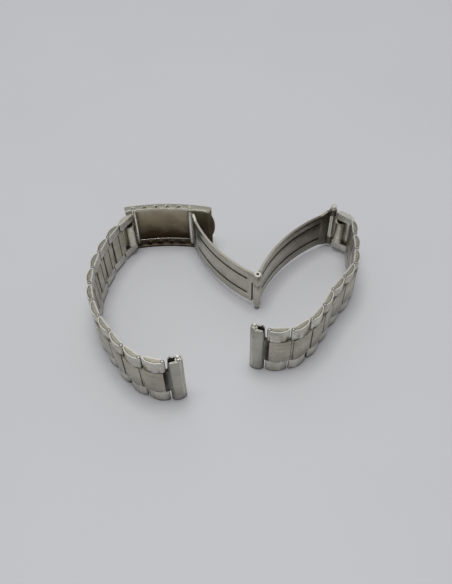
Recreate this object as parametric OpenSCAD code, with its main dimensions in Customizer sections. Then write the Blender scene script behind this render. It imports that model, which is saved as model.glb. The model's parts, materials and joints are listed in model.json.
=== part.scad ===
// Steel watch bracelet with a folding clasp, standing open on its side edge.
// The band width runs along Z. The clasp cover is the fixed body.

/* [Links] */
// Distance from one hinge pin to the next
pitch = 6.3; // [5:0.1:8]
// Pin to bar distance of the curled link next to the clasp
curled_pitch = 7.1; // [6.5:0.1:9]
// How far the curled loop next to the clasp stands out on the wrist side
loop_out = 1; // [0.4:0.1:1.4]
// Length of the curled loop along the link
loop_l = 3.5; // [3:0.1:4]
// Gap at the upper end of the curled loop
loop_gap = 0.7; // [0.3:0.1:1.2]
// Thickness of a link
link_t = 1.8; // [1.6:0.1:2.4]
// Width of the band at the end pieces
end_w = 19; // [16:0.5:22]
// Width of the band beside the clasp
clasp_w = 14.4; // [12:0.2:18]
// Width of the centre pieces, the same along the band
centre_w = 9.8; // [8:0.2:11]
// Sheet thickness of the folded links
sheet = 0.45; // [0.3:0.05:0.6]
// Radius of a hinge pin
pin_r = 0.3; // [0.25:0.05:0.4]
// Height of the hinge pins over the middle of the link, towards the outside
pin_y = -0.3; // [-0.4:0.05:-0.1]
// Running gap between the outer pieces of two links
end_gap = 0.3; // [0.1:0.05:0.4]
// Rounding of each outer piece at its corner beside the centre piece
corner_r = 1.5; // [0.6:0.1:1.8]

/* [Pose in the photo] */
// Bends of the left half in degrees, from the clasp to the end piece
left_bends = [56, 8.5, 10, 7, 10.5, 13, 10, 11.5, 2, 14.5, 24, 31];
// Bends of the right half in degrees, from the clasp to the end piece
right_bends = [0, 53, 0.5, 9, 24, 2.5, -10, 9.5, 18, 32.5, 20.5];
// Direction of the first right link, seen from above
right_start = 319.5; // [290:1:330]
// Direction of the first blade, seen from above
blade_a_dir = -53.8; // [-80:0.2:0]
// Direction of the second blade, seen from above
blade_b_dir = 45.2; // [0:0.1:90]

/* [Clasp cover] */
// Length of the cover
cover_len = 27.9; // [24:0.1:34]
// Width of the cover
cover_w = 17.1; // [15:0.1:19]
// Depth of the side flanges
cover_d = 3.2; // [2.4:0.1:4]
// Sheet thickness of the cover
cover_t = 0.7; // [0.5:0.05:1]
// Radius of the arch of the cover
cover_r = 60; // [45:1:80]
// Outward slant of the side flanges in degrees
flare = 12; // [0:1:20]
// Rounding of the bends between the face and the flanges
bend_r = 0.9; // [0.75:0.05:1.5]
// Radius of the spring bar in the cover
bar_r = 0.6; // [0.5:0.05:0.7]
// Spacing of the adjusting holes
hole_pitch = 3.7; // [3:0.1:5]
// Depth of the hole centres below the outer face
hole_d = 2.1; // [1.6:0.1:2.4]
// Turn of the cover, seen from above
cover_turn = -2.5; // [-10:0.5:10]

/* [Blades] */
// Length of the blade that hangs on the cover, from pin to pin
blade_a = 33.5; // [28:0.5:40]
// Length of the blade with the snap bar, from pin to pin
blade_b = 35.8; // [30:0.1:42]
// Width of the blades
blade_w = 12.8; // [11:0.2:14]
// Sheet thickness of the blades
blade_t = 0.7; // [0.5:0.05:1]
// Radius of the arch of the blades
blade_r = 45; // [35:1:70]

/* [End pieces] */
// Length of the folded tube of an end piece, across the lug bar
lug_l = 4.2; // [3.4:0.1:4.6]
// Thickness of the folded tube
lug_t = 2.2; // [2.1:0.1:2.6]
// Radius of the lug bar
lug_r = 0.78; // [0.76:0.02:0.84]
// Radius of the thin end of the lug bar, which fits the hole of a watch lug
lug_tip_r = 0.42; // [0.3:0.02:0.45]
// Gap between the last link and the tube of the end piece
lug_gap = 0.4; // [0.3:0.05:0.8]

/* [Hidden] */
$fn = 32;

// colours of the brushed and the polished steel
satin = [0.66, 0.64, 0.60];
bright = [0.76, 0.75, 0.72];
dull = [0.50, 0.47, 0.43];

// the middle of the whole part is put on the origin
shift = [-0.53, 4.56];
cover_at = [-17.5, 26.1] + shift;
half_t = link_t / 2;
cover_mid = cover_w / 2;
end_mid = end_w / 2;
clasp_mid = 8.75;

// a point of the cover: s along the arch, d below its outer face
function turned(v, a) = [v.x * cos(a) - v.y * sin(a), v.x * sin(a) + v.y * cos(a)];
function on_cover(s, d) = let (a = s / cover_r * 180 / PI)
  cover_at + turned([(cover_r - d) * sin(a), (cover_r - d) * cos(a) - cover_r], cover_turn);
function ahead(a) = [cos(a), sin(a)];

first_hole = -cover_len / 2 + 2.8;
bar_at = on_cover(first_hole, hole_d);
pivot_at = on_cover(first_hole + 5 * hole_pitch, hole_d);
hinge_at = pivot_at + blade_a * ahead(blade_a_dir);
snap_at = hinge_at + blade_b * ahead(blade_b_dir);

// directions and near pins of the links; side is -1 for the left half, 1 for the right
function sum_to(v, n) = n < 0 ? 0 : v[n] + sum_to(v, n - 1);
function dir_of(side, i) = side < 0
  ? 180 + cover_turn + sum_to(left_bends, i)
  : right_start - sum_to(right_bends, i);
function length_of(i) = i == 0 ? curled_pitch : pitch;
function near_pin(side, i) = i == 0 ? (side < 0 ? bar_at : snap_at)
  : near_pin(side, i - 1) + length_of(i - 1) * ahead(dir_of(side, i - 1))
    + (i == 1 ? pin_y : 0) * ahead(dir_of(side, i - 1) + side * 90);
function count(side) = side < 0 ? 11 : 10;
function share(side, i) = (i + 0.5) / count(side);
function width(side, i) = clasp_w + (end_w - clasp_w) * share(side, i);
function middle(side, i) = clasp_mid + (end_mid - clasp_mid) * share(side, i);

// puts a link, drawn with its outer face up in +y, in its place
module at_link(side, i)
  translate([near_pin(side, i).x, near_pin(side, i).y, middle(side, i)])
    rotate([0, 0, dir_of(side, i)])
      mirror([0, side < 0 ? 1 : 0, 0])
        translate([0, i == 0 ? 0 : -pin_y, 0])
          children();

module slab(z0, z1) translate([0, 0, z0]) linear_extrude(z1 - z0) children();
module box2(x0, x1, y0, y1) translate([x0, y0]) square([x1 - x0, y1 - y0]);

// side view of a folded piece: flat inside, round ends of radius e, and a
// domed outside that meets the ends without a corner
module pebble(x0, x1, e, half = half_t) {
  a = (x1 - x0) / 2 - e;
  r = (a * a + pow(2 * half - e, 2) - e * e) / (4 * (half - e));
  c = [(x0 + x1) / 2, half - r];
  p = [x0 + e, e - half];
  t = c + (p - c) * r / (r - e);
  translate(p) circle(e);
  translate([x1 - e, p.y]) circle(e);
  box2(p.x, x1 - e, -half, p.y);
  intersection() {
    translate(c) circle(r, $fn = 180);
    polygon([t, p, [x1 - e, p.y], [x0 + x1 - t.x, t.y],
      [x0 + x1 - t.x, half + 1], [t.x, half + 1]]);
  }
}

// clearances that pieces are built with
play = 0.06;
side_play = 0.25;
bar_gap = 0.8;
hook_r = half_t + pin_y;
hook_gap = 0.35;
outer_far = pin_r + 0.25;
outer_near = outer_far + end_gap;
shoulder = 0.35;
lap_gap = 0.1;
end_round = 0.55;
tongue_x = 2.4;
tongue_l = 1.9;
tongue_t = 0.35;
tongue_y = 0;
loop_start = 0.95;

// two folded outer pieces with the pin for the next link
module outers(len, w, near) {
  far = len + outer_far;
  seam = (near + far) / 2;
  z = centre_w / 2;
  for (s = [0, 1]) mirror([0, 0, s]) difference() {
    slab(z, w / 2) pebble(near, far, end_round);
    slab(z - 1, w / 2 - 0.5) box2(near + corner_r + 0.2, len - pin_r - 0.35, sheet - half_t, half_t - 0.75);
    translate([len, pin_y, 0]) cylinder(h = w, r = pin_r + 0.02);
    slab(0, w) box2(tongue_x - play, tongue_x + tongue_l + play, tongue_y - play, tongue_y + tongue_t + play);
    slab(z - 1, w / 2 - 0.5) box2(seam - 0.06, seam + 0.06, -half_t - 1, 0);
    // rounded corner beside the centre piece
    difference() {
      translate([near - 1, -half_t - 1, z - 1]) cube([corner_r + 1, link_t + 2, corner_r + 1]);
      translate([near + corner_r, -half_t - 2, z + corner_r])
        rotate([-90, 0, 0]) cylinder(h = link_t + 4, r = corner_r);
    }
  }
  translate([len, pin_y, -w / 2 - 0.03]) cylinder(h = w + 0.06, r = pin_r);
}

// outer face of a centre piece, a little domed and with round ends
face_drop = 0.28;
module domed_face(x0, x1, t) {
  a = (x1 - x0) / 2;
  r = (a * a + face_drop * face_drop) / 2 / face_drop;
  y = half_t - face_drop - 0.15;
  intersection() {
    translate([x0 + a, half_t - r]) circle(r, $fn = 180);
    union() {
      box2(x0 + 0.15, x1 - 0.15, half_t - t, half_t);
      box2(x0, x1, half_t - t, y);
      for (x = [x0 + 0.15, x1 - 0.15]) translate([x, y]) circle(0.15);
    }
  }
}

// side view of a centre piece: a hook round the pin, a folded body with a seam
// inside, and an outer face that laps over the hook of the next link
face_t = 0.6;
module centre_shape(len) {
  low = len - hook_r - hook_gap;
  difference() {
    union() {
      translate([0, pin_y]) circle(hook_r);
      domed_face(shoulder, len - lap_gap, face_t);
      box2(shoulder, low - 0.3, pin_y, half_t - face_t + 0.1);
      box2(0, low - 0.3, -half_t, pin_y + 0.1);
      box2(low - 0.4, low, 0.3 - half_t, half_t - face_t + 0.1);
      translate([low - 0.3, 0.3 - half_t]) circle(0.3);
    }
    box2(shoulder + 0.9, low - 0.5, 0.5 - half_t, half_t - 0.85);
    box2(low / 2 - 0.36, low / 2 - 0.24, -half_t - 1, 0);
  }
}

// the same for the link beside the clasp: a flat tube, and an open curl that
// grips the bar from the outside
module curled_shape(len, bar) {
  curl = half_t - 0.05;
  difference() {
    union() {
      circle(curl);
      box2(0, bar + loop_start + 0.6, curl - 0.42, curl);
      domed_face(bar + loop_start - 0.4, len - lap_gap, face_t);
      box2(tongue_x, tongue_x + tongue_l, tongue_y + tongue_t / 2, half_t - face_t + 0.1);
    }
    circle(bar + play);
    box2(-half_t - 1, bar + loop_start, -half_t - 1, -0.1);
    box2(bar, bar + loop_start, -half_t - 1, curl - 0.42);
  }
}
// round loop of the curled sheet, which stands out on the wrist side
module loop_shape(len, bar) {
  x0 = bar + loop_start;
  x1 = x0 + loop_l;
  low = -half_t - loop_out;
  r = (pow((x1 - x0) / 2, 2) + pow(-0.4 - low, 2)) / 2 / (-0.4 - low);
  translate([(x0 + x1) / 2, low + r]) difference() {
    circle(r, $fn = 64);
    circle(r - sheet, $fn = 64);
    box2(-r - 1, r + 1, half_t - 0.35 - low - r, r + 1);
  }
}
module centre(len, w, bar) {
  c = centre_w / 2 - side_play;
  difference() {
    union() {
      slab(-c, c) if (bar > 0) curled_shape(len, bar); else centre_shape(len);
      if (bar > 0) slab(loop_gap / 2 - c, c - loop_gap) loop_shape(len, bar);
      slab(-w / 2, w / 2)
        box2(tongue_x, tongue_x + tongue_l, tongue_y, tongue_y + tongue_t);
    }
    if (bar == 0) translate([0, pin_y, -w]) cylinder(h = 2 * w, r = pin_r + play);
  }
}

module link_outers(side, i) color(satin) at_link(side, i)
  outers(length_of(i), width(side, i), i > 0 ? outer_near : side < 0 ? bar_r + bar_gap : snap_barrel + bar_gap / 2);
module link_centre(side, i) color(bright) at_link(side, i)
  centre(length_of(i), width(side, i), i > 0 ? 0 : side < 0 ? bar_r : snap_r);

// puts the end piece at the last pin
module at_end(side) {
  n = count(side);
  translate([near_pin(side, n).x, near_pin(side, n).y, 0])
    rotate([0, 0, dir_of(side, n)])
      mirror([0, side < 0 ? 1 : 0, 0])
        translate([0, -pin_y, 0])
          children();
}

// end piece: a nose round the last pin and a folded tube for the lug bar
lug_near = outer_far + lug_gap;
lug_half = lug_t / 2;
lug_x = lug_near + lug_l - lug_half - 0.1;
lug_wall = 0.42;
module end_piece(side) color(satin) at_end(side) {
  c = centre_w / 2 - side_play;
  difference() {
    union() {
      slab(end_mid - c, end_mid + c) {
        translate([0, pin_y]) circle(hook_r);
        box2(0, lug_near + 0.8, -half_t, 2 * pin_y + half_t);
      }
      slab(0.25, end_w - 0.25) pebble(lug_near, lug_near + lug_l, 0.9, lug_half);
      // corner of the inner fold that stands up beside the bar
      slab(end_w - 0.4, end_w + 0.3)
        box2(lug_near + 0.9, lug_near + 1.3, -lug_half + 0.02, 0.4 - lug_half);
    }
    translate([0, pin_y, -1]) cylinder(h = end_w + 2, r = pin_r + play);
    slab(-1, end_w + 1) {
      translate([lug_x, 0]) circle(lug_r + 0.08);
      box2(lug_near + lug_wall, lug_x, lug_wall - lug_half, lug_half - lug_wall - 0.2);
    }
    // the fold is cut back at the top, beside the last link
    rotate([90, 0, 0]) translate([0, 0, -5]) linear_extrude(10)
      polygon([[lug_near - 1, end_w * 0.75], [lug_near - 0.01, end_w * 0.75],
        [lug_near + 0.7, end_w + 1], [lug_near - 1, end_w + 1]]);
  }
}

// spring bar barrel from z0 to z1, bored at both ends for the stems of its tips
module barrel(z0, z1, r) difference() {
  translate([0, 0, z0]) cylinder(h = z1 - z0, r = r);
  for (z = [z0 + 0.4, z1 - 3.8]) translate([0, 0, z]) cylinder(h = 3.4, r = r - 0.1);
  for (z = [z0 - 1, z1 - 1]) translate([0, 0, z]) cylinder(h = 2, r = stem_of(r) + 0.03);
}
function stem_of(r) = r - 0.18;
// tip of a spring bar: a collar and a stem inside the barrel, a flange outside
// it, and the thin end that goes into the lug or the cover
module tip(mouth, stem, thin, r, nose, up) translate([0, 0, mouth]) mirror([0, 0, up ? 0 : 1]) {
  translate([0, 0, -1.3]) cylinder(h = 0.6, r = r - 0.14);
  translate([0, 0, -1]) cylinder(h = 1 + stem, r = stem_of(r));
  translate([0, 0, stem - 0.1]) cylinder(h = thin, r = nose);
  translate([0, 0, stem - 0.1 + thin]) cylinder(h = 0.12, r1 = nose, r2 = nose - 0.1);
}

lug_z0 = 1.6;
lug_z1 = end_w - 0.6;
lug_out = 1.1;
module at_lug(side) at_end(side) translate([lug_x, 0, 0]) children();
module lug_barrel(side) color(dull) at_lug(side) barrel(lug_z0, lug_z1, lug_r);
module lug_tip_top(side) color(bright) at_lug(side)
  tip(lug_z1, 0.5, lug_out, lug_r, lug_tip_r, true);
// the lower tip is pressed in by the table and hides inside the tube
module lug_tip_bottom(side) color(bright) at_lug(side)
  tip(lug_z0, 0.4, lug_z0 - 0.6, lug_r, lug_tip_r - 0.04, false);

// inner face of a slanted flange at the depth of the holes
pivot_barrel = 0.85;
bar_z0 = (cover_d - hole_d + pivot_barrel) * tan(flare) + cover_t / cos(flare) + 0.12;
clasp_tip_r = 0.32;
clasp_stem = bar_z0 - (cover_d - hole_d) * tan(flare) - cover_t / cos(flare) - 0.12;
clasp_thin = cover_t / cos(flare) + 0.1;
module at_bar() translate([bar_at.x, bar_at.y, 0]) children();
module clasp_bar_barrel() color(dull) at_bar() barrel(bar_z0, cover_w - bar_z0, bar_r);
module clasp_bar_tip_top() color(bright) at_bar()
  tip(cover_w - bar_z0, clasp_stem, clasp_thin, bar_r, clasp_tip_r, true);
module clasp_bar_tip_bottom() color(bright) at_bar()
  tip(bar_z0, clasp_stem, clasp_thin, bar_r, clasp_tip_r, false);

// channel section of the cover: slanted flanges, rounded where the sheet is bent
module cover_section() {
  r0 = cover_r - cover_d;
  rc = cover_r - bend_r;
  zc = (rc - r0) * tan(flare) + bend_r / cos(flare);
  ri = cover_r - cover_t;
  wall = cover_t / cos(flare);
  difference() {
    union() for (m = [0, 1]) translate([0, m * cover_w]) mirror([0, m]) {
      polygon([[r0, 0], [rc + bend_r * sin(flare), zc - bend_r * cos(flare)], [rc, zc],
        [cover_r, zc], [cover_r, cover_mid], [r0, cover_mid]]);
      translate([rc, zc]) circle(bend_r);
    }
    polygon([[r0 - 1, wall - tan(flare)], [ri, (ri - r0) * tan(flare) + wall],
      [ri, cover_w - (ri - r0) * tan(flare) - wall], [r0 - 1, cover_w - wall + tan(flare)]]);
  }
}
module at_cover() translate([cover_at.x, cover_at.y, 0]) rotate([0, 0, cover_turn])
  translate([0, -cover_r, 0]) children();
half_arc = cover_len / 2 / cover_r * 180 / PI;
lip_r = 10.2;
module cover_corner(s, d, k) rotate([0, 0, -s / cover_r * 180 / PI])
  translate([0, cover_r - d, -1]) difference() {
    translate([k > 0 ? 0 : -2, -2, 0]) cube([2, 2, cover_w + 2]);
    translate([0, 0, -1]) cylinder(h = cover_w + 4, r = 1.1);
  }
module clasp_cover() color(bright) at_cover() difference() {
  union() {
    rotate([0, 0, 90 - half_arc]) rotate_extrude(angle = 2 * half_arc, $fn = 96) cover_section();
    // nail lip in the middle of the free end
    intersection() {
      rotate([0, 0, 90 - half_arc - 2]) rotate_extrude(angle = 3, $fn = 96)
        box2(cover_r - cover_t + 0.06, cover_r - 0.06, 2, cover_w - 2);
      translate([cover_len / 2 + 0.75 - lip_r, cover_r + 3, cover_mid])
        rotate([90, 0, 0]) cylinder(h = 8, r = lip_r, $fn = 96);
    }
  }
  for (i = [0:5]) rotate([0, 0, -(first_hole + i * hole_pitch) / cover_r * 180 / PI])
    translate([0, cover_r - hole_d, -1]) cylinder(h = cover_w + 2, r = clasp_tip_r + 0.08);
  cover_corner(cover_len / 2 - 1.1, cover_d - 1.1, 1);
  cover_corner(-cover_len / 2 + 1.1, cover_d - 1.1, -1);
}

pivot_r = clasp_tip_r + 0.05;
module blade_pivot_pin() color(bright) translate([pivot_at.x, pivot_at.y, 0.2])
  cylinder(h = cover_w - 0.4, r = pivot_r);

snap_r = 0.6;
snap_barrel = 1.15;
knuckle_r = 1.1;
hinge_r = 0.65;
groove_w = 0.9;
groove_t = 0.35;
groove_z = 3.2;
blade_z0 = cover_mid - blade_w / 2;
blade_z1 = cover_mid + blade_w / 2;
wide_z1 = cover_w - bar_z0;
split = 0.1;
hinge_split = cover_mid + blade_w * 0.18;
// the barrels stop this much inside the edges of the sheet
inset = 0.04;

// centre of the arch of a blade whose ends lie at the origin and at [len, 0]
function arch_mid(len) = [len / 2, -sqrt(blade_r * blade_r - len * len / 4)];
// swings a blade sheet about its far end, so that it starts off below the pin
module swung(len, off) translate([len, 0, 0]) rotate([0, 0, asin(off / len)])
  translate([-len, 0, 0]) children();

// arched sheet, bulging to +y, with the outline of its 2D children
module sheet_of(len) intersection() {
  slab(0, cover_w) intersection() {
    translate(arch_mid(len)) difference() {
      circle(blade_r + blade_t / 2, $fn = 180);
      circle(blade_r - blade_t / 2, $fn = 180);
    }
    box2(0, len, -1, 10);
  }
  rotate([90, 0, 0]) translate([0, 0, -20]) linear_extrude(40) children();
}
// pressed groove at height z from x0 to x1, on the side of the radii r0 to r1
module groove(len, x0, x1, z, r0, r1) intersection() {
  translate([arch_mid(len).x, arch_mid(len).y, z - groove_w / 2]) difference() {
    cylinder(h = groove_w, r = r1, $fn = 180);
    translate([0, 0, -1]) cylinder(h = groove_w + 2, r = r0, $fn = 180);
  }
  rotate([-90, 0, 0]) translate([0, 0, -2]) linear_extrude(20) {
    box2(x0, x1, -z - groove_w / 2, groove_w / 2 - z);
    for (x = [x0, x1]) translate([x, -z]) circle(groove_w / 2);
  }
}
module at_blade(p, dir, up) translate([p.x, p.y, 0]) rotate([0, 0, dir])
  mirror([0, up ? 0 : 1, 0]) children();

module blade_a_cover_side() color(satin) at_blade(pivot_at, blade_a_dir, false) {
  end = blade_a - knuckle_r - 0.5;
  difference() {
    union() {
      swung(blade_a, pivot_barrel - blade_t / 2) sheet_of(blade_a)
        polygon([[0, bar_z0], [2.2, bar_z0], [4.2, blade_z0], [end, blade_z0],
          [end, hinge_split + split], [blade_a, hinge_split + split], [blade_a, blade_z1],
          [4.2, blade_z1], [2.2, wide_z1], [0, wide_z1]]);
      slab(bar_z0 + inset, wide_z1 - inset) circle(pivot_barrel);
      slab(hinge_split + split + inset, blade_z1 - inset) translate([blade_a, 0])
        circle(knuckle_r);
    }
    translate([0, 0, -1]) cylinder(h = 20, r = pivot_r + play);
    translate([blade_a, 0, -1]) cylinder(h = 20, r = hinge_r + 0.04);
    for (z = [cover_mid - groove_z, cover_mid + groove_z])
      swung(blade_a, pivot_barrel - blade_t / 2) groove(blade_a, blade_a * 0.18,
        blade_a - 3.4, z, blade_r + blade_t / 2 - groove_t, blade_r + 1);
  }
}

// window in the end of the second blade, where the curled link grips the snap bar
loop_z0 = cover_mid - centre_w / 2;
loop_z1 = cover_mid + centre_w / 2 + 0.3;
module blade_b_snap_side() color(satin) at_blade(hinge_at, blade_b_dir, true) difference() {
  start = knuckle_r + 0.5;
  union() {
    sheet_of(blade_b) difference() {
      polygon([[0, blade_z0], [blade_b - 4.2, blade_z0], [blade_b - 2.2, bar_z0],
        [blade_b, bar_z0], [blade_b, wide_z1], [blade_b - 2.2, wide_z1],
        [blade_b - 4.2, blade_z1], [start, blade_z1], [start, hinge_split - split],
        [0, hinge_split - split]]);
      box2(blade_b - half_t - 0.3, blade_b + 1, loop_z0, loop_z1);
    }
    slab(blade_z0 + inset, hinge_split - split - inset) circle(knuckle_r);
    slab(bar_z0 + inset, loop_z0 - inset) translate([blade_b, 0]) circle(snap_barrel);
    slab(loop_z1 + inset, wide_z1 - inset) translate([blade_b, 0]) circle(snap_barrel);
  }
  translate([0, 0, -1]) cylinder(h = 20, r = hinge_r + 0.04);
  translate([blade_b, 0, -1]) cylinder(h = 20, r = snap_r + play);
  for (z = [cover_mid - groove_z, cover_mid + groove_z]) groove(blade_b, blade_b * 0.1,
    blade_b - 4.6, z, blade_r - blade_t / 2 - 1, blade_r - blade_t / 2 + groove_t);
}

// hollow rivet: open at the top, a narrow stub below
module blade_hinge_pin() color(dull) translate([hinge_at.x, hinge_at.y, 0]) difference() {
  union() {
    cylinder(h = blade_z1 + 0.1, r = hinge_r);
    translate([0, 0, blade_z1 + 0.05]) cylinder(h = 0.5, r = hinge_r + 0.3);
  }
  translate([0, 0, blade_z1 - 6]) cylinder(h = 8, r = hinge_r - 0.2);
}

// snap bar with a round head at each end, outside the blade
snap_head = 0.95;
module snap_bar() color(bright) translate([snap_at.x, snap_at.y, 0]) {
  translate([0, 0, 0.2]) cylinder(h = cover_w - 0.3, r = snap_r);
  translate([0, 0, 0.05]) cylinder(h = bar_z0 - 0.15, r = snap_head);
  translate([0, 0, wide_z1 + 0.1]) cylinder(h = 1.05, r = snap_head);
  difference() {
    translate([0, 0, wide_z1 + 1.15]) cylinder(h = 0.35, r1 = snap_head, r2 = snap_head - 0.2);
    translate([0, 0, wide_z1 + 1.2]) cylinder(h = 1, r = snap_head - 0.4);
  }
}

echo(cover_bar = bar_at, pivot = pivot_at, hinge = hinge_at, snap = snap_at);
echo(left = [for (i = [0:11]) near_pin(-1, i)], left_dir = [for (i = [0:11]) dir_of(-1, i)]);
function lug_bar(side) = let (n = count(side), a = dir_of(side, n)) near_pin(side, n)
  + lug_x * ahead(a) - pin_y * ahead(a + side * 90);
echo(left_bar = lug_bar(-1), right_bar = lug_bar(1));
echo(right = [for (i = [0:10]) near_pin(1, i)], right_dir = [for (i = [0:10]) dir_of(1, i)]);

clasp_cover();
blade_pivot_pin();
blade_a_cover_side();
blade_b_snap_side();
blade_hinge_pin();
snap_bar();
clasp_bar_barrel();
clasp_bar_tip_top();
clasp_bar_tip_bottom();
end_piece(-1);  // left_end_piece
lug_barrel(-1);  // left_bar_barrel
lug_tip_top(-1);  // left_bar_tip_top
lug_tip_bottom(-1);  // left_bar_tip_bottom
end_piece(1);  // right_end_piece
lug_barrel(1);  // right_bar_barrel
lug_tip_top(1);  // right_bar_tip_top
lug_tip_bottom(1);  // right_bar_tip_bottom
link_outers(-1, 0);  // left_01_outers
link_centre(-1, 0);  // left_01_centre
link_outers(-1, 1);  // left_02_outers
link_centre(-1, 1);  // left_02_centre
link_outers(-1, 2);  // left_03_outers
link_centre(-1, 2);  // left_03_centre
link_outers(-1, 3);  // left_04_outers
link_centre(-1, 3);  // left_04_centre
link_outers(-1, 4);  // left_05_outers
link_centre(-1, 4);  // left_05_centre
link_outers(-1, 5);  // left_06_outers
link_centre(-1, 5);  // left_06_centre
link_outers(-1, 6);  // left_07_outers
link_centre(-1, 6);  // left_07_centre
link_outers(-1, 7);  // left_08_outers
link_centre(-1, 7);  // left_08_centre
link_outers(-1, 8);  // left_09_outers
link_centre(-1, 8);  // left_09_centre
link_outers(-1, 9);  // left_10_outers
link_centre(-1, 9);  // left_10_centre
link_outers(-1, 10);  // left_11_outers
link_centre(-1, 10);  // left_11_centre
link_outers(1, 0);  // right_01_outers
link_centre(1, 0);  // right_01_centre
link_outers(1, 1);  // right_02_outers
link_centre(1, 1);  // right_02_centre
link_outers(1, 2);  // right_03_outers
link_centre(1, 2);  // right_03_centre
link_outers(1, 3);  // right_04_outers
link_centre(1, 3);  // right_04_centre
link_outers(1, 4);  // right_05_outers
link_centre(1, 4);  // right_05_centre
link_outers(1, 5);  // right_06_outers
link_centre(1, 5);  // right_06_centre
link_outers(1, 6);  // right_07_outers
link_centre(1, 6);  // right_07_centre
link_outers(1, 7);  // right_08_outers
link_centre(1, 7);  // right_08_centre
link_outers(1, 8);  // right_09_outers
link_centre(1, 8);  // right_09_centre
link_outers(1, 9);  // right_10_outers
link_centre(1, 9);  // right_10_centre
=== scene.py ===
import json
import logging
import math
from dataclasses import dataclass, field, replace
from enum import Enum
from typing import Optional, Union

import bmesh
import bpy
from mathutils import Matrix, Vector


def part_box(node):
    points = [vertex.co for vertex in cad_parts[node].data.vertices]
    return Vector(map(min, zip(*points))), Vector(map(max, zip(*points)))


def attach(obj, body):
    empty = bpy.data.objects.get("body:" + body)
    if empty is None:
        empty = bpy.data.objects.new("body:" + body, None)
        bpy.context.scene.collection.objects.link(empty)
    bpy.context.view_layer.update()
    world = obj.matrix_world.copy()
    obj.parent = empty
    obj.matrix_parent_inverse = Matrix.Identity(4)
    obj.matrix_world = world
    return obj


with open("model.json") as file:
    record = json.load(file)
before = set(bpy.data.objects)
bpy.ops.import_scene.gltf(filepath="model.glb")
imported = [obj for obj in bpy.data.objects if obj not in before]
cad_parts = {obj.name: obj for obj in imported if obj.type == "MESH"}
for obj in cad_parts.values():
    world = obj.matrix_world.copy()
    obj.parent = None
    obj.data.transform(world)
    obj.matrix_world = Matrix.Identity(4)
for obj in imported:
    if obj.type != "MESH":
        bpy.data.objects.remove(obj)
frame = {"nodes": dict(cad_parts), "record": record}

LOG = logging.getLogger("bracelet")
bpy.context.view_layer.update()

# Metres in a millimetre, how close two points are merged, in metres, a quarter
# turn, and how many rays look for near corners and for edges.
MM = 0.001
MERGE = 1e-7
QUARTER = math.pi / 2
CORNER_RAYS = 8
EDGE_RAYS = 4

Colour = tuple[float, float, float]
Place = tuple[float, float, float]
Range = tuple[float, float]


# Shader maths: what a material shows is written as Python expressions.


class Socket:
    """A value inside a material. Python's operators on it add Math nodes."""

    def __init__(self, paint: "Paint", socket: bpy.types.NodeSocket) -> None:
        """Wraps one output socket.

        Args:
            paint: The material that the socket belongs to.
            socket: The output socket.
        """
        self.paint = paint
        self.socket = socket

    def _math(self, operation: str, first: "Value", second: "Value") -> "Socket":
        """Adds one Math node.

        Args:
            operation: Blender's name of the operation.
            first: Its first value.
            second: Its second value.

        Returns:
            The node's result.
        """
        return self.paint.node(
            "ShaderNodeMath", {"operation": operation}, {0: first, 1: second}
        )

    def __add__(self, other: "Value") -> "Socket":
        """This value plus another."""
        return self._math("ADD", self, other)

    def __radd__(self, other: "Value") -> "Socket":
        """Another value plus this one."""
        return self._math("ADD", other, self)

    def __sub__(self, other: "Value") -> "Socket":
        """This value minus another."""
        return self._math("SUBTRACT", self, other)

    def __rsub__(self, other: "Value") -> "Socket":
        """Another value minus this one."""
        return self._math("SUBTRACT", other, self)

    def __mul__(self, other: "Value") -> "Socket":
        """This value times another."""
        return self._math("MULTIPLY", self, other)

    def __rmul__(self, other: "Value") -> "Socket":
        """Another value times this one."""
        return self._math("MULTIPLY", other, self)

    def __pow__(self, other: "Value") -> "Socket":
        """This value to the power of another."""
        return self._math("POWER", self, other)

    def clamp(self, low: float, high: float) -> "Socket":
        """Maps low..high to 0..1 and holds the value inside.

        Args:
            low: The value that becomes 0.
            high: The value that becomes 1.

        Returns:
            The mapped value.
        """
        return self.paint.node(
            "ShaderNodeMapRange",
            {"clamp": True},
            {"Value": self, "From Min": low, "From Max": high},
        )


Value = Union[Socket, int, float, tuple]


@dataclass(frozen=True)
class Noise:
    """A cloudy pattern on an object's own coordinates.

    Attributes:
        scale: Its features per metre.
        detail: How many finer layers it has.
        ends: The raw values that become 0 and 1.
        stretch: How many times finer it is along x, y and z.
        crisp: How strong each finer layer is.
    """

    scale: float
    detail: float
    ends: Range
    stretch: Place = (1.0, 1.0, 1.0)
    crisp: float = 0.6


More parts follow.
